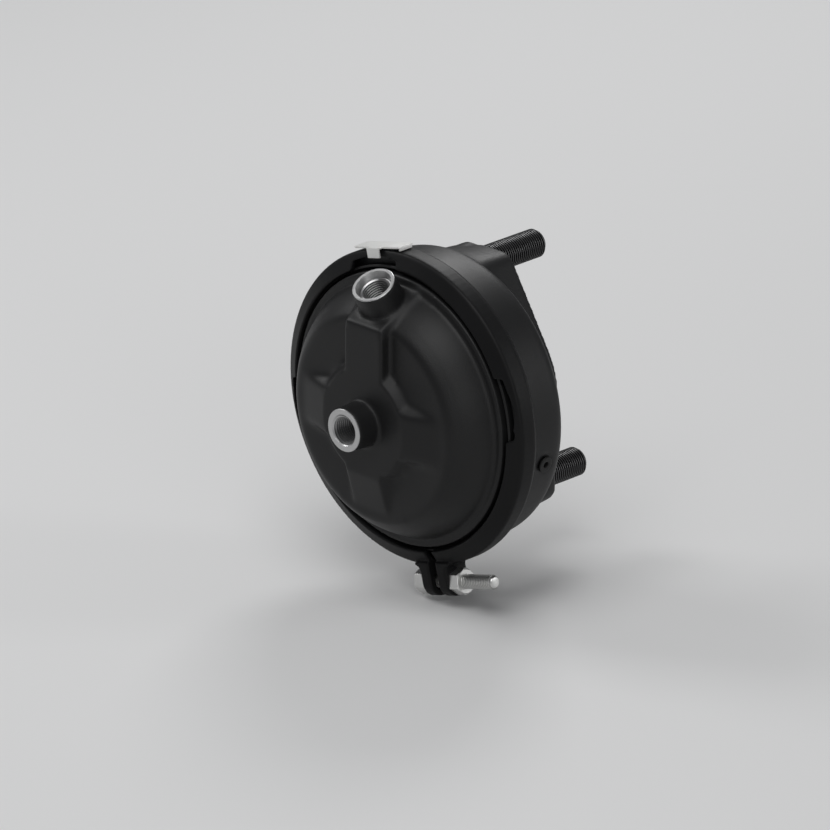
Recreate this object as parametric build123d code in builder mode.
from build123d import *
from math import asin, atan, cos, degrees, radians, sin, tan
import os

# Air brake chamber, diaphragm type, with a short ball-ended push rod for a disc brake.
#
# Millimetres. The origin is the centre of the mounting face, +Y runs out of that face along the
# push rod, and +Z is up. The pressure cover faces -Y. Angles around the chamber are measured
# from +X towards +Z. In every section sketch local x is the radius and local y is the axis.

os.makedirs("parts", exist_ok=True)

# ---- Driving dimensions --------------------------------------------------------------------

# Mounting studs
stud_spacing = 120.65
stud_diameter = 16.0
stud_shank_diameter = 16.6
stud_reach = 48.5
stud_grip = 30.0
stud_head_diameter = 24.0
stud_head_height = 8.0
stud_head_chamfer = 1.0
stud_boss_margin = 1.0
stud_point = 2.0
stud_line_angle = 105.0

# Moving parts
rod_diameter = 18.0
rod_reach = 15.0
tip_length = 12.0
tip_dome_radius = 12.0
tip_chamfer = 0.6
plate_margin = 6.5
plate_wall = 3.0
plate_rim_height = 6.5
plate_edge_chamfer = 1.8
weld_leg = 4.0

# Rear housing
housing_radius = 80.5
housing_wall = 5.0
flange_step = 2.7
shoulder_depth = 31.0
shoulder_round = 5.0
back_slope = 30.0
floor_wall = 8.0
clamp_depth = 60.4
flange_waist_radius = 47.3
flange_side_turn = 16.7
lug_margin = 11.7
flange_corner = 9.0
flange_draft = 5.0
flange_blend = 8.0
well_land = 15.3

# Clamp ring, a V section that holds both flanges and the diaphragm edge
ring_wall = 3.0
ring_bend = 2.0
front_lip_height = 8.5
front_lip_slope = 27.5
rear_lip_height = 2.4
rear_lip_slope = 54.0
front_band_reach = 4.3
rear_band_reach = 2.4
notch_rim = 4.5
notch_half_angle = 11.5
notch_flare_angle = 3.0
notch_opening = 5.0
notch_corner = 1.5
ear_gap = 5.4
ear_offset = 0.5
ear_thickness = 7.0
ear_end_radius = 7.9
ear_bend = 3.2
ear_root = 0.5
bend_share = 0.29
ear_angle = 285.0
clamp_bolt_diameter = 8.0
clamp_bolt_lift = 9.5
clamp_bolt_point = 22.1
clamp_bolt_chamfer = 1.0
bolt_head_flats = 13.0
bolt_head_height = 7.8
nut_height = 6.5
hex_turn = 18.0
hex_crown = 0.97

# Diaphragm
diaphragm_wall = 2.8
diaphragm_edge_gap = 0.6

# Pressure cover
cover_flange_width = 12.5
cover_flange_height = 7.8
cover_side_run = 14.7
cover_top_round = 4.0
cover_foot_round = 1.2
cover_bulge = 1.8
cover_wall = 4.5
rim_bead_height = 0.9
rim_bead_width = 4.0
rim_bead_inset = 1.5
pocket_rise = 29.5
spoke_height = 6.5
disc_radius = 29.2
disc_edge_round = 1.2
disc_side_run = 4.6
disc_foot_round = 2.5
spoke_half_width = 12.5
spoke_draft = 35.0
spoke_end_margin = 5.0
spoke_edge_round = 1.0

# Ports, both for the same M16 x 1.5 fitting
port_minor_radius = 7.19
port_boss_diameter = 24.0
port_boss_draft = 2.5
port_boss_root = 2.0
centre_port_height = 13.9
centre_port_chamfer = 0.9
platform_half_width = 13.55
platform_draft = 6.0
platform_edge_margin = 1.0
platform_end_margin = 0.7
top_port_tilt = 60.0
top_port_boss_height = 13.9
top_port_edge_distance = 17.4
top_port_mouth_radius = 10.0
top_port_mouth_depth = 4.0
top_port_mouth_draft = 20.0
top_port_thread_depth = 19.0
top_port_passage_diameter = 10.0
top_port_passage_depth = 30.5

# Return spring, seals and gaiter
spring_wire = 3.8
spring_seat_gap = 2.1
spring_plate_radius = 24.0
spring_turns = 4.0
spring_seat_wall = 1.5
gaiter_wall = 1.5
gaiter_bead_inset = 1.0
gaiter_bead_width = 4.0
gaiter_bead_height = 2.5
gaiter_neck_depth = 36.0
gaiter_neck_length = 5.0
gaiter_groove_depth = 0.8
gaiter_folds = 4
gaiter_fold_swing = 4.5
retainer_wall = 1.2
retainer_margin = 1.0
gaiter_clip_wall = 1.5
seal_inset = 5.0
seal_width = 4.0
seal_groove_depth = 2.2
seal_stand = 0.8

# Vent plugs and the clip on the ring
vent_angles = {"right_vent_plug": -12.0, "lower_vent_plug": 258.0, "left_vent_plug": 168.0}
vent_clamp_distance = 17.4
vent_flat_depth = 0.2
vent_head_diameter = 9.0
vent_head_height = 1.3
vent_stem_diameter = 5.6
vent_bore_diameter = 3.4
clip_length = 34.0
clip_width = 11.0
clip_wall = 1.0
clip_turn = 1.3
clip_end_fold = 1.5
clip_tab_width = 9.0
clip_tab_length = 4.5

# Clearances
flank_gap = 0.15
running_gap = 0.3
bolt_clearance = 0.4
nut_clearance = 0.02
stud_clearance = 0.15
seal_clearance = 0.1
seat_clearance = 0.2
air_gap = 0.9
cut_margin = 1.0

# ---- Places worked out from them -----------------------------------------------------------

# Radii, from the housing outwards and inwards
stud_radius = stud_spacing / 2
stud_angles = {"upper_stud": stud_line_angle, "lower_stud": stud_line_angle + 180}
rim_radius = housing_radius + flange_step
ring_radius = rim_radius + running_gap + ring_wall
front_lip_radius = ring_radius - front_lip_height
rear_lip_radius = ring_radius - rear_lip_height
notch_radius = ring_radius - notch_rim
clamp_bolt_radius = ring_radius + clamp_bolt_lift
cavity_radius = housing_radius - housing_wall
cover_foot_radius = rim_radius - cover_flange_width
cover_top_radius = cover_foot_radius - cover_side_run
spoke_end_radius = cover_top_radius - spoke_end_margin
cavity_top_radius = cover_top_radius - cover_wall
plate_radius = cavity_top_radius - plate_margin
well_radius = flange_waist_radius - housing_wall
rod_opening_radius = well_radius - well_land
rod_radius = rod_diameter / 2

# Depths, from the clamped edge of the diaphragm
cover_face_depth = clamp_depth + diaphragm_wall
ring_band_front = cover_face_depth + front_band_reach
ring_band_rear = clamp_depth - rear_band_reach
clamp_bolt_depth = (ring_band_front + ring_band_rear) / 2
vent_depth = clamp_depth - vent_clamp_distance
cover_foot_depth = cover_face_depth + cover_flange_height
pocket_depth = cover_face_depth + pocket_rise
disc_depth = pocket_depth + spoke_height
centre_port_depth = disc_depth + centre_port_height
cover_ceiling_depth = pocket_depth - cover_wall
diaphragm_front_depth = cover_ceiling_depth - air_gap
plate_front_depth = diaphragm_front_depth - diaphragm_wall
plate_rear_depth = plate_front_depth - plate_wall


def across(depth, turn=0.0):
    """Plane square to the chamber axis, `depth` in front of the mounting face, facing -Y.

    Local x points at the angle `turn`.
    """
    return Plane(
        origin=(0, -depth, 0),
        x_dir=(cos(radians(turn)), 0, sin(radians(turn))),
        z_dir=(0, -1, 0),
    )


def ring_point(radius, angle):
    """Local point of such a plane at a radius and an angle."""
    return (radius * cos(radians(angle)), radius * sin(radians(angle)))


def radial_plane(angle, depth, radius):
    """Plane that faces outwards at an angle: local x runs round the ring, local y along +Y."""
    out = Vector(cos(radians(angle)), 0, sin(radians(angle)))
    return Plane(
        origin=out * radius - Vector(0, depth, 0),
        x_dir=Vector(0, 1, 0).cross(out),
        z_dir=out,
    )


def near(corners, radius, depth):
    """The corner of a section that lies closest to a radius and a depth."""
    return corners.sort_by_distance((radius, -depth, 0))[0]


def finish(part, name):
    """Label one finished piece and write it."""
    part.label = name
    export_step(part, f"parts/{name}.step")


# ---- Clamp flanks: the ring's inner faces and the flange faces that they press on ----------

front_rise = tan(radians(front_lip_slope))
front_lip_depth = ring_band_front + (ring_radius - front_lip_radius) * front_rise
front_skin = ring_wall / cos(radians(front_lip_slope))
rear_rise = tan(radians(rear_lip_slope))
rear_lip_depth = ring_band_rear - (ring_radius - rear_lip_radius) * rear_rise
rear_skin = ring_wall / cos(radians(rear_lip_slope))


def front_flank(radius, gap=0.0):
    """Depth of the ring's front inner face at a radius, less a gap."""
    return ring_band_front - front_skin + (ring_radius - radius) * front_rise - gap


def rear_flank(radius, gap=0.0):
    """Depth of the ring's rear inner face at a radius, plus a gap."""
    return ring_band_rear + rear_skin - (ring_radius - radius) * rear_rise + gap


# ---- Rear housing --------------------------------------------------------------------------

slope_rise = tan(radians(back_slope))
slope_skin = housing_wall / cos(radians(back_slope))
flange_end_radius = stud_radius + lug_margin
lug_step = housing_radius - flange_end_radius
stud_line_turn = stud_line_angle - 90


def slope_depth(radius):
    """Depth of the sloping back's outer face at a radius."""
    return shoulder_depth - (housing_radius - radius) * slope_rise


def mounting_outline():
    """Outline of the mounting flange: a round waist that narrows to a lug at each stud."""
    side_x, side_y = ring_point(flange_waist_radius, flange_side_turn)
    end_y = flange_end_radius + flange_corner
    end_x = side_x - (end_y - side_y) * tan(radians(flange_side_turn))
    with BuildSketch(across(0, stud_line_turn), mode=Mode.PRIVATE) as outline:
        Polygon(
            (side_x, -side_y), (side_x, side_y), (end_x, end_y), (-end_x, end_y),
            (-side_x, side_y), (-side_x, -side_y), (-end_x, -end_y), (end_x, -end_y),
            align=None,
        )
        Circle(flange_waist_radius)
        Circle(flange_end_radius, mode=Mode.INTERSECT)
        corners = outline.vertices().filter_by(lambda v: abs(v.Y) > flange_waist_radius)
        fillet(corners, flange_corner)
    return outline.sketch


def stud_circles(depth, radius):
    """A circle round each stud's axis at a depth."""
    with BuildSketch(across(depth, stud_line_turn), mode=Mode.PRIVATE) as circles:
        with Locations((0, stud_radius), (0, -stud_radius)):
            Circle(radius)
    return circles.sketch


with BuildPart() as rear_housing:
    with BuildSketch(Plane.XY) as body_section:
        with BuildLine():
            Polyline(
                (0, -clamp_depth), (rim_radius, -clamp_depth),
                (rim_radius, -rear_flank(rim_radius, flank_gap)),
                (housing_radius, -rear_flank(housing_radius, flank_gap)),
                (housing_radius, -shoulder_depth),
                (flange_waist_radius, -slope_depth(flange_waist_radius)),
                (0, -slope_depth(flange_waist_radius)), close=True,
            )
        make_face()
        fillet(near(body_section.vertices(), housing_radius, shoulder_depth), shoulder_round)
    revolve(axis=Axis.Y)
    extrude(mounting_outline(), amount=shoulder_depth, taper=-flange_draft)
    lug_roots = rear_housing.edges(Select.NEW).filter_by(lambda e: e.center().Y < -floor_wall)
    fillet(lug_roots, min(flange_blend, lug_step))

    # Cavity: a straight bore, a sloping bowl and a well round the rod opening
    with BuildSketch(Plane.XY) as cavity_section:
        with BuildLine():
            Polyline(
                (0, -clamp_depth), (cavity_radius, -clamp_depth),
                (cavity_radius, -slope_depth(cavity_radius) - slope_skin),
                (well_radius, -slope_depth(well_radius) - slope_skin),
                (well_radius, -floor_wall), (0, -floor_wall), close=True,
            )
        make_face()
    revolve(axis=Axis.Y, mode=Mode.SUBTRACT)
    with BuildSketch(across(0)):
        Circle(rod_opening_radius)
    extrude(amount=floor_wall, mode=Mode.SUBTRACT)

    # Bosses under the stud heads, spot faced where the bowl is higher than they are
    extrude(stud_circles(0, stud_head_diameter / 2 + stud_boss_margin), amount=stud_grip)
    extrude(stud_circles(stud_grip, stud_head_diameter / 2 + stud_boss_margin),
            amount=clamp_depth - stud_grip, mode=Mode.SUBTRACT)
    extrude(stud_circles(0, stud_shank_diameter / 2 + stud_clearance),
            amount=stud_grip, mode=Mode.SUBTRACT)

    # Groove of the face seal
    with BuildSketch(across(0)):
        Circle(rod_opening_radius + seal_inset + seal_width)
        Circle(rod_opening_radius + seal_inset, mode=Mode.SUBTRACT)
    extrude(amount=seal_groove_depth, mode=Mode.SUBTRACT)

    # Vent holes, each on a small flat
    for angle in vent_angles.values():
        with BuildSketch(radial_plane(angle, vent_depth, housing_radius - vent_flat_depth)):
            Circle(vent_head_diameter / 2 + running_gap)
        extrude(amount=housing_wall, mode=Mode.SUBTRACT)
        with BuildSketch(radial_plane(angle, vent_depth, cavity_radius - cut_margin)):
            Circle(vent_stem_diameter / 2 + running_gap)
        extrude(amount=2 * housing_wall, mode=Mode.SUBTRACT)

finish(rear_housing.part, "rear_housing")

# ---- Pressure cover ------------------------------------------------------------------------

platform_rise = tan(radians(90 - top_port_tilt))
platform_edge_height = cover_top_radius - platform_edge_margin
platform_end_height = cover_foot_radius - platform_end_margin
platform_end_depth = disc_depth - (platform_end_height - platform_edge_height) / platform_rise
platform_foot_depth = cover_face_depth + cover_wall
bead_radius = cover_foot_radius + rim_bead_inset
bead_depth = cover_foot_depth + rim_bead_height
flank_start_radius = bead_radius + rim_bead_width
centre_recess_radius = disc_radius - cover_wall
centre_recess_depth = disc_depth - cover_wall
cavity_foot_radius = cover_foot_radius - cover_wall - air_gap
mouth_radius = bead_radius + rim_bead_width / 2
port_boss_radius = port_boss_diameter / 2
top_port_out = Vector(0, -cos(radians(top_port_tilt)), sin(radians(top_port_tilt)))
top_port_along = Vector(0, sin(radians(top_port_tilt)), cos(radians(top_port_tilt)))
top_port_foot = Vector(0, -disc_depth, platform_edge_height) + top_port_along * top_port_edge_distance
top_port_face = top_port_foot + top_port_out * top_port_boss_height


def top_port_plane(origin):
    """Plane across the top port at a point of its axis, facing out of the port."""
    return Plane(origin=origin, x_dir=(1, 0, 0), z_dir=top_port_out)


def low_spoke():
    """One low spoke along +X: its top slopes from the disc's edge down to the pocket floor."""
    run = spoke_end_radius - disc_radius
    slope_length = (run ** 2 + spoke_height ** 2) ** 0.5
    root = disc_radius / 2
    top = Plane(
        origin=(disc_radius, -disc_depth, 0),
        x_dir=(run, spoke_height, 0),
        z_dir=(spoke_height, -run, 0),
    )
    with BuildPart() as bar:
        with BuildSketch(top):
            with Locations((-root, 0)):
                Rectangle(slope_length + root, 2 * spoke_half_width, align=(Align.MIN, Align.CENTER))
        extrude(amount=-spoke_height - cover_wall / 2, taper=-spoke_draft)
        sides = bar.faces().sort_by(Axis.Y)[0].edges().filter_by(lambda e: abs(e.center().Z) > 1)
        fillet(sides, spoke_edge_round)
        split(bisect_by=across(disc_depth), keep=Keep.BOTTOM)
    return bar.part


def high_spoke():
    """The upper spoke, along +X: level with the disc, then sloping back under the tilted port."""
    with BuildPart() as bar:
        with BuildSketch(across(disc_depth)):
            Rectangle(rim_radius, 2 * platform_half_width, align=(Align.MIN, Align.CENTER))
        extrude(amount=platform_foot_depth - disc_depth, taper=-platform_draft)
        with BuildSketch(Plane.XY):
            with BuildLine():
                Polyline(
                    (0, -platform_foot_depth), (0, -disc_depth), (platform_edge_height, -disc_depth),
                    (platform_end_height, -platform_end_depth),
                    (platform_end_height, -platform_foot_depth), close=True,
                )
            make_face()
        extrude(amount=rim_radius, both=True, mode=Mode.INTERSECT)
        tops = bar.faces().filter_by(lambda f: f.normal_at().Y < -0.3 and abs(f.normal_at().Z) < 0.1)
        fillet(tops.edges().filter_by(lambda e: abs(e.center().Z) > 1), spoke_edge_round)
    return bar.part


with BuildPart() as pressure_cover:
    with BuildSketch(Plane.XY) as cover_section:
        with BuildLine():
            l1 = Polyline(
                (0, -cover_face_depth), (0, -disc_depth), (disc_radius, -disc_depth),
                (disc_radius + disc_side_run, -pocket_depth), (cover_top_radius, -pocket_depth),
            )
            l2 = SagittaArc(l1 @ 1, (cover_foot_radius, -cover_foot_depth), -cover_bulge)
            Polyline(
                l2 @ 1, (bead_radius, -bead_depth), (flank_start_radius, -bead_depth),
                (flank_start_radius, -front_flank(flank_start_radius, flank_gap)),
                (rim_radius, -front_flank(rim_radius, flank_gap)),
                (rim_radius, -cover_face_depth), (0, -cover_face_depth),
            )
        make_face()
        fillet(near(cover_section.vertices(), disc_radius, disc_depth), disc_edge_round)
        fillet(near(cover_section.vertices(), disc_radius + disc_side_run, pocket_depth), disc_foot_round)
        fillet(near(cover_section.vertices(), cover_top_radius, pocket_depth), cover_top_round)
        fillet(near(cover_section.vertices(), cover_foot_radius, cover_foot_depth), cover_foot_round)
    revolve(axis=Axis.Y)

    # Low spokes to the right, down and left, and the upper one that carries the tilted port
    for turn in (0, 90, 180):
        add(low_spoke(), rotation=(0, turn, 0))
    add(high_spoke(), rotation=(0, -90, 0))

    # Port bosses
    with BuildSketch(across(centre_port_depth)):
        Circle(port_boss_radius)
    extrude(amount=-centre_port_height - port_boss_root, taper=-port_boss_draft)
    with BuildSketch(top_port_plane(top_port_face)):
        Circle(port_boss_radius)
    extrude(amount=-top_port_boss_height - port_boss_root, taper=-port_boss_draft)

    # Cavity
    with BuildSketch(Plane.XY) as air_section:
        with BuildLine():
            Polyline(
                (0, -cover_face_depth), (0, -centre_recess_depth),
                (centre_recess_radius, -centre_recess_depth), (disc_radius, -cover_ceiling_depth),
                (cavity_top_radius, -cover_ceiling_depth), (cavity_foot_radius, -cover_foot_depth),
                (mouth_radius, -cover_face_depth), close=True,
            )
        make_face()
    revolve(axis=Axis.Y, mode=Mode.SUBTRACT)

    # Port threads' bores, with a chamfer at the centre port and a wide mouth at the top port,
    # whose thread ends in the wall and goes on as a narrower air passage
    with BuildSketch(across(centre_port_depth)):
        Circle(port_minor_radius)
    extrude(amount=cover_face_depth - centre_port_depth, mode=Mode.SUBTRACT)
    with BuildSketch(across(centre_port_depth)):
        Circle(port_minor_radius + centre_port_chamfer)
    extrude(amount=-centre_port_chamfer, taper=45, mode=Mode.SUBTRACT)
    with BuildSketch(top_port_plane(top_port_face)):
        Circle(port_minor_radius)
    extrude(amount=-top_port_thread_depth, mode=Mode.SUBTRACT)
    with BuildSketch(top_port_plane(top_port_face)):
        Circle(top_port_passage_diameter / 2)
    extrude(amount=-top_port_passage_depth, mode=Mode.SUBTRACT)
    with BuildSketch(top_port_plane(top_port_face)):
        Circle(top_port_mouth_radius)
    extrude(amount=-top_port_mouth_depth, taper=top_port_mouth_draft, mode=Mode.SUBTRACT)

finish(pressure_cover.part, "pressure_cover")

# ---- Clamp ring ----------------------------------------------------------------------------

ear_left = ear_offset - ear_gap / 2
ear_right = ear_offset + ear_gap / 2


def ear_plane(depth):
    """Plane square to the axis that faces +Y: local x runs along the bolt, local y out to the ears."""
    turn = radians(ear_angle + 90)
    return Plane(origin=(0, -depth, 0), x_dir=(cos(turn), 0, sin(turn)), z_dir=(0, 1, 0))


bolt_line = ear_plane(clamp_bolt_depth)
bolt_point = bolt_line.from_local_coords((0, clamp_bolt_radius))


def bolt_plane(along):
    """Plane across the clamp bolt at a distance from the ear line, facing the nut's end."""
    return Plane(origin=bolt_point + bolt_line.x_dir * along, x_dir=(0, 1, 0), z_dir=bolt_line.x_dir)


def ear(inner, outer):
    """One turned-out band end between two distances from the ear line: a tongue round the bolt."""
    root = ring_radius - ring_wall + ear_root
    side = 1 if outer > inner else -1
    foot = (ring_radius ** 2 - (abs(outer) + ear_bend) ** 2) ** 0.5
    with BuildPart() as lug:
        with BuildSketch(bolt_plane(inner)):
            Circle(ear_end_radius)
            with Locations((0, (clamp_bolt_radius - root) / 2)):
                Rectangle(2 * ear_end_radius, clamp_bolt_radius - root)
        extrude(amount=outer - inner)
        with BuildSketch(ear_plane(clamp_bolt_depth + ear_end_radius)):
            with BuildLine():
                Polyline(
                    (outer, root), (outer, foot + ear_bend),
                    (outer + side * ear_bend * bend_share, foot + ear_bend * bend_share),
                    (outer + side * ear_bend, foot), (outer + side * ear_bend, root), close=True,
                )
            make_face()
        extrude(amount=2 * ear_end_radius)
    return lug.part


with BuildPart() as clamp_ring:
    with BuildSketch(Plane.XY) as ring_section:
        with BuildLine():
            Polyline(
                (rear_lip_radius, -rear_lip_depth), (ring_radius, -ring_band_rear),
                (ring_radius, -ring_band_front), (front_lip_radius, -front_lip_depth),
                (front_lip_radius - ring_wall * sin(radians(front_lip_slope)),
                 -front_lip_depth + ring_wall * cos(radians(front_lip_slope))),
                (ring_radius - ring_wall, -front_flank(ring_radius - ring_wall)),
                (ring_radius - ring_wall, -rear_flank(ring_radius - ring_wall)),
                (rear_lip_radius - ring_wall * sin(radians(rear_lip_slope)),
                 -rear_lip_depth - ring_wall * cos(radians(rear_lip_slope))), close=True,
            )
        make_face()
        outer_bends = [near(ring_section.vertices(), ring_radius, ring_band_rear),
                       near(ring_section.vertices(), ring_radius, ring_band_front)]
        fillet(outer_bends, ring_bend)
    revolve(axis=Axis.Y)

    # Notches that let the front lip flex, at the ear line's two sides and opposite it
    notch_foot_radius = front_lip_radius - notch_opening
    for notch_angle in (ear_angle - 90, ear_angle - 180, ear_angle - 270):
        with BuildSketch(across(front_lip_depth + cut_margin)) as notch:
            Polygon(
                ring_point(notch_radius, notch_angle - notch_half_angle),
                ring_point(notch_radius / cos(radians(notch_half_angle)), notch_angle),
                ring_point(notch_radius, notch_angle + notch_half_angle),
                ring_point(notch_foot_radius, notch_angle + notch_half_angle + notch_flare_angle),
                ring_point(notch_foot_radius, notch_angle - notch_half_angle - notch_flare_angle),
                align=None,
            )
            corners = notch.vertices().filter_by(lambda v: (v.X ** 2 + v.Y ** 2) ** 0.5 > front_lip_radius)
            middle = corners.sort_by_distance(notch.faces()[0].center())[-3:]
            fillet(middle.sort_by_distance(ring_point(notch_radius, notch_angle))[1:], notch_corner)
        extrude(amount=ring_band_front - front_skin - front_lip_depth, mode=Mode.SUBTRACT)

    # Gap between the band ends, then the ears with the bolt hole
    with BuildSketch(ear_plane(front_lip_depth + cut_margin)):
        with Locations((ear_offset, ring_radius)):
            Rectangle(ear_gap, 3 * front_lip_height)
    extrude(amount=front_lip_depth - rear_lip_depth + 2 * cut_margin, mode=Mode.SUBTRACT)
    add(ear(ear_left, ear_left - ear_thickness))
    add(ear(ear_right, ear_right + ear_thickness))
    with BuildSketch(bolt_plane(0)):
        Circle(clamp_bolt_diameter / 2 + bolt_clearance)
    extrude(amount=3 * ear_thickness, both=True, mode=Mode.SUBTRACT)

finish(clamp_ring.part, "clamp_ring")

# ---- Clamp bolt and nut --------------------------------------------------------------------

bolt_axis = Axis(bolt_point, bolt_line.x_dir)
bolt_head_seat = ear_left - ear_thickness
nut_seat = ear_right + ear_thickness
nut_face = nut_seat + nut_height


with BuildPart() as clamp_bolt:
    with BuildSketch(bolt_plane(bolt_head_seat - bolt_head_height)):
        RegularPolygon(bolt_head_flats / 2, 6, major_radius=False, rotation=hex_turn)
    extrude(amount=bolt_head_height)
    with BuildSketch(bolt_plane(bolt_head_seat - bolt_head_height)):
        Circle(bolt_head_flats / 2 * hex_crown)
    extrude(amount=bolt_head_height, taper=-60, mode=Mode.INTERSECT)
    with BuildSketch(bolt_plane(bolt_head_seat)):
        Circle(clamp_bolt_diameter / 2)
    extrude(amount=nut_face + clamp_bolt_point - bolt_head_seat)
    chamfer(clamp_bolt.faces().sort_by(bolt_axis)[-1].edges(), clamp_bolt_chamfer)

finish(clamp_bolt.part, "clamp_bolt")

with BuildPart() as clamp_nut:
    with BuildSketch(bolt_plane(nut_seat)):
        RegularPolygon(bolt_head_flats / 2, 6, major_radius=False, rotation=hex_turn)
    extrude(amount=nut_height)
    with BuildSketch(bolt_plane(nut_face)):
        Circle(bolt_head_flats / 2 * hex_crown)
    extrude(amount=-nut_height, taper=-60, mode=Mode.INTERSECT)
    with BuildSketch(bolt_plane(nut_seat)):
        Circle(clamp_bolt_diameter / 2 + nut_clearance)
    extrude(amount=nut_height, mode=Mode.SUBTRACT)

finish(clamp_nut.part, "clamp_nut")

# ---- Clip on the ring, at the notch opposite the ears --------------------------------------

clip_angle = ear_angle - 180 - clip_turn
clip_rest = ring_radius + running_gap
clip_middle_depth = (ring_band_front + ring_band_rear) / 2
clip_front_depth = clip_middle_depth + clip_width / 2
tab_depth = ring_band_front + (ring_radius - notch_radius) * front_rise + running_gap
tab_arm = tab_depth + clip_wall - clip_front_depth
clip_fold_side = 1

with BuildPart() as ring_clip:
    with BuildSketch(radial_plane(clip_angle, clip_middle_depth, clip_rest)) as clip_top:
        Rectangle(clip_length, clip_width)
        fillet(clip_top.vertices(), clip_wall)
    extrude(amount=clip_wall)
    with BuildSketch(radial_plane(clip_angle, clip_middle_depth, clip_rest)):
        with Locations((clip_fold_side * (clip_length - clip_wall) / 2, 0)):
            Rectangle(clip_wall, clip_width - 2 * clip_wall)
    extrude(amount=-clip_end_fold)
    with BuildSketch(radial_plane(clip_angle, clip_front_depth + tab_arm / 2, clip_rest)):
        Rectangle(clip_tab_width, tab_arm)
    extrude(amount=clip_wall)
    with BuildSketch(radial_plane(clip_angle, tab_depth + clip_wall / 2, clip_rest)):
        Rectangle(clip_tab_width, clip_wall)
    extrude(amount=-clip_tab_length)

finish(ring_clip.part, "ring_clip")

# ---- Mounting studs: pressed in from inside, the head in a spot face ------------------------

for stud_name, stud_angle in stud_angles.items():
    stud_foot = ring_point(stud_radius, stud_angle)
    with BuildPart() as stud:
        with BuildSketch(across(stud_grip)):
            with Locations(stud_foot):
                Circle(stud_head_diameter / 2)
        extrude(amount=stud_head_height)
        chamfer(stud.faces().sort_by(Axis.Y)[0].edges(), stud_head_chamfer)
        with BuildSketch(across(0)):
            with Locations(stud_foot):
                Circle(stud_shank_diameter / 2)
        extrude(amount=stud_grip)
        with BuildSketch(across(-stud_reach)):
            with Locations(stud_foot):
                Circle(stud_diameter / 2)
        extrude(amount=stud_reach)
        chamfer(stud.faces().sort_by(Axis.Y)[-1].edges(), stud_point)
    finish(stud.part, stud_name)

# ---- Diaphragm: clamped edge, cone and the crown that lies on the push plate ---------------

rubber_rim_radius = rim_radius - diaphragm_edge_gap
rubber_foot_radius = cavity_foot_radius - 2 * diaphragm_edge_gap
rubber_foot_depth = cover_foot_depth - diaphragm_edge_gap

with BuildPart() as diaphragm:
    with BuildSketch(Plane.XY):
        with BuildLine():
            Polyline(
                (0, -diaphragm_front_depth), (cavity_top_radius - diaphragm_wall, -diaphragm_front_depth),
                (rubber_foot_radius, -rubber_foot_depth), (mouth_radius, -cover_face_depth),
                (rubber_rim_radius, -cover_face_depth), (rubber_rim_radius, -clamp_depth),
                (bead_radius, -clamp_depth),
                (rubber_foot_radius - diaphragm_wall, -rubber_foot_depth + diaphragm_wall),
                (cavity_top_radius - 2 * diaphragm_wall, -plate_front_depth),
                (0, -plate_front_depth), close=True,
            )
        make_face()
    revolve(axis=Axis.Y)

finish(diaphragm.part, "diaphragm")

# ---- Push plate, rod and hardened tip ------------------------------------------------------

with BuildPart() as push_plate:
    with BuildSketch(Plane.XY) as plate_section:
        with BuildLine():
            Polyline(
                (0, -plate_front_depth), (plate_radius, -plate_front_depth),
                (plate_radius, -plate_front_depth + plate_rim_height),
                (plate_radius - plate_wall, -plate_front_depth + plate_rim_height),
                (plate_radius - plate_wall, -plate_rear_depth),
                (0, -plate_rear_depth), close=True,
            )
        make_face()
        chamfer(near(plate_section.vertices(), plate_radius, plate_front_depth), plate_edge_chamfer)
    revolve(axis=Axis.Y)

finish(push_plate.part, "push_plate")

neck_radius = rod_radius - gaiter_groove_depth
neck_start = gaiter_neck_depth + gaiter_neck_length / 2
neck_end = gaiter_neck_depth - gaiter_neck_length / 2

with BuildPart() as push_rod:
    with BuildSketch(Plane.XY):
        with BuildLine():
            Polyline(
                (0, -plate_rear_depth), (rod_radius + weld_leg, -plate_rear_depth),
                (rod_radius, -plate_rear_depth + weld_leg), (rod_radius, -neck_start),
                (neck_radius, -neck_start), (neck_radius, -neck_end), (rod_radius, -neck_end),
                (rod_radius, rod_reach - tip_length), (0, rod_reach - tip_length), close=True,
            )
        make_face()
    revolve(axis=Axis.Y)

finish(push_rod.part, "push_rod")

tip_dome_angle = degrees(asin(rod_radius / tip_dome_radius))


def tip_dome_point(angle):
    """Point of the tip's dome at an angle from the rod's axis."""
    rise = tip_dome_radius * (1 - cos(radians(angle)))
    return (tip_dome_radius * sin(radians(angle)), rod_reach - rise)


with BuildPart() as rod_tip:
    with BuildSketch(Plane.XY) as tip_section:
        with BuildLine():
            tip_side = Line((rod_radius, rod_reach - tip_length), tip_dome_point(tip_dome_angle))
            tip_dome = ThreePointArc(
                tip_side @ 1, tip_dome_point(tip_dome_angle / 2), tip_dome_point(0))
            Polyline(tip_dome @ 1, (0, rod_reach - tip_length), tip_side @ 0)
        make_face()
        chamfer(near(tip_section.vertices(), rod_radius, tip_length - rod_reach), tip_chamfer)
    revolve(axis=Axis.Y)

finish(rod_tip.part, "rod_tip")

# ---- Gaiter, its retainer and its clip -----------------------------------------------------

bead_inner = rod_opening_radius + gaiter_bead_inset
bead_outer = bead_inner + gaiter_bead_width
gaiter_neck_radius = rod_radius + running_gap + gaiter_wall
fold_start = (bead_inner + gaiter_wall / 2, -floor_wall - gaiter_bead_height / 2)
fold_end = (gaiter_neck_radius - gaiter_wall / 2, -neck_end - gaiter_wall)


def fold_point(step):
    """Corner of the gaiter's wall: folds swing to either side of a line from bead to neck."""
    share = step / (gaiter_folds + 1)
    swing = gaiter_fold_swing * (-1 if step % 2 else 1)
    radius = fold_start[0] + share * (fold_end[0] - fold_start[0])
    axial = fold_start[1] + share * (fold_end[1] - fold_start[1])
    return (radius, axial + swing)


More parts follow.
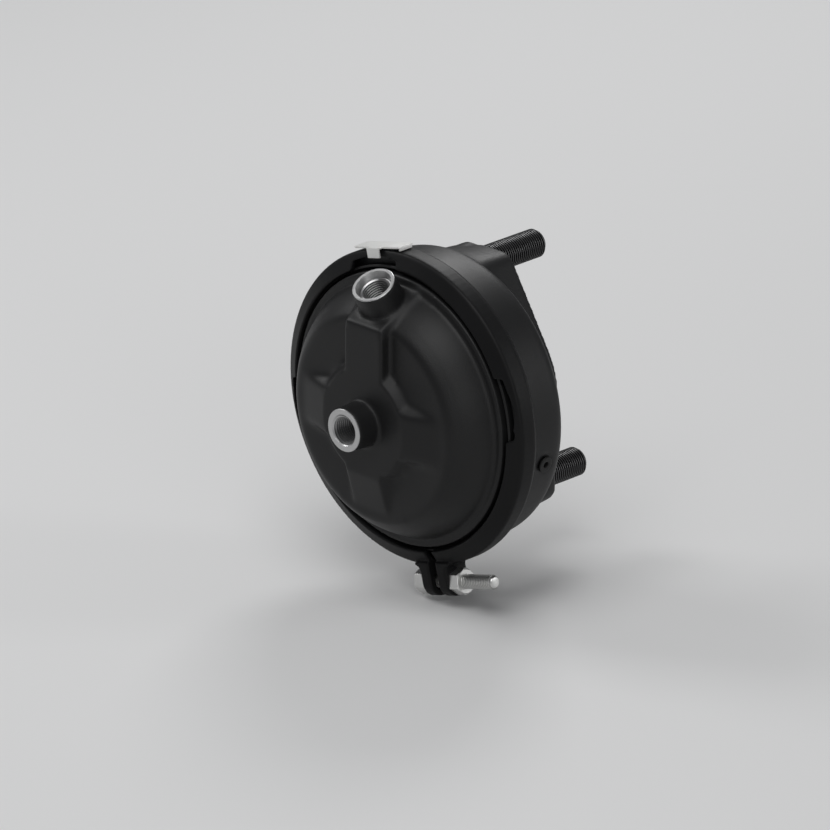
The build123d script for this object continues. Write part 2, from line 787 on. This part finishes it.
with BuildPart() as rod_gaiter:
    with BuildSketch(Plane.XY):
        with BuildLine():
            folds = [fold_point(step) for step in range(1, gaiter_folds + 1)]
            Polyline(fold_start, *folds, fold_end)
        trace(line_width=gaiter_wall)
        with BuildLine():
            Polyline(
                (bead_inner, -floor_wall), (bead_outer, -floor_wall),
                (bead_outer, -floor_wall - gaiter_bead_height),
                (bead_inner, -floor_wall - gaiter_bead_height), close=True,
            )
        make_face()
        with BuildLine():
            Polyline(
                (gaiter_neck_radius, -neck_end - running_gap),
                (gaiter_neck_radius, -neck_start + running_gap),
                (neck_radius + running_gap, -neck_start + running_gap),
                (neck_radius + running_gap, -neck_end - running_gap), close=True,
            )
        make_face()
    revolve(axis=Axis.Y)

finish(rod_gaiter.part, "rod_gaiter")

with BuildPart() as gaiter_retainer:
    with BuildSketch(across(floor_wall + gaiter_bead_height)):
        Circle(bead_outer + retainer_margin)
        Circle(bead_inner + gaiter_wall, mode=Mode.SUBTRACT)
    extrude(amount=retainer_wall)

finish(gaiter_retainer.part, "gaiter_retainer")

with BuildPart() as gaiter_clip:
    with BuildSketch(across(gaiter_neck_depth - gaiter_clip_wall / 2)):
        Circle(gaiter_neck_radius + running_gap + gaiter_clip_wall)
        Circle(gaiter_neck_radius + running_gap / 2, mode=Mode.SUBTRACT)
    extrude(amount=gaiter_clip_wall)

finish(gaiter_clip.part, "gaiter_clip")

# ---- Return spring and the seat ring that carries it ---------------------------------------

seat_inner = bead_outer + seat_clearance
seat_outer = well_radius - running_gap
spring_seat_radius = seat_outer - spring_seat_wall - spring_wire / 2 - spring_seat_gap
spring_foot_depth = floor_wall + spring_seat_wall + spring_wire / 2 + running_gap
spring_top_depth = plate_rear_depth - spring_wire / 2 - running_gap
spring_height = spring_top_depth - spring_foot_depth

with BuildPart() as spring_seat:
    with BuildSketch(Plane.XY):
        with BuildLine():
            Polyline(
                (seat_inner, -floor_wall), (seat_outer, -floor_wall),
                (seat_outer, -floor_wall - spring_wire),
                (seat_outer - spring_seat_wall, -floor_wall - spring_wire),
                (seat_outer - spring_seat_wall, -floor_wall - spring_seat_wall),
                (seat_inner, -floor_wall - spring_seat_wall), close=True,
            )
        make_face()
    revolve(axis=Axis.Y)

finish(spring_seat.part, "spring_seat")

with BuildPart() as return_spring:
    with BuildLine() as coil:
        cone = degrees(atan((spring_plate_radius - spring_seat_radius) / spring_height))
        Helix(spring_height / spring_turns, spring_height, spring_seat_radius,
              center=(0, -spring_foot_depth, 0), direction=(0, -1, 0), cone_angle=cone)
    with BuildSketch(Plane(origin=coil.line @ 0, z_dir=coil.line % 0)):
        RegularPolygon(spring_wire / 2, 6)
    sweep(path=coil.line, is_frenet=True)

finish(return_spring.part, "return_spring")

# ---- Face seal -----------------------------------------------------------------------------

with BuildPart() as flange_seal:
    with BuildSketch(across(seal_groove_depth)):
        Circle(rod_opening_radius + seal_inset + seal_width - seal_clearance)
        Circle(rod_opening_radius + seal_inset + seal_clearance, mode=Mode.SUBTRACT)
    extrude(amount=-seal_groove_depth - seal_stand)

finish(flange_seal.part, "flange_seal")

# ---- Vent plugs ----------------------------------------------------------------------------

for vent_name, vent_angle in vent_angles.items():
    with BuildPart() as vent_plug:
        with BuildSketch(radial_plane(vent_angle, vent_depth, housing_radius - vent_flat_depth)):
            Circle(vent_head_diameter / 2)
        extrude(amount=vent_head_height)
        with BuildSketch(radial_plane(vent_angle, vent_depth, cavity_radius)):
            Circle(vent_stem_diameter / 2)
        extrude(amount=housing_wall - vent_flat_depth)
        with BuildSketch(radial_plane(vent_angle, vent_depth, cavity_radius)):
            Circle(vent_bore_diameter / 2)
        extrude(amount=2 * housing_wall, mode=Mode.SUBTRACT)
    finish(vent_plug.part, vent_name)
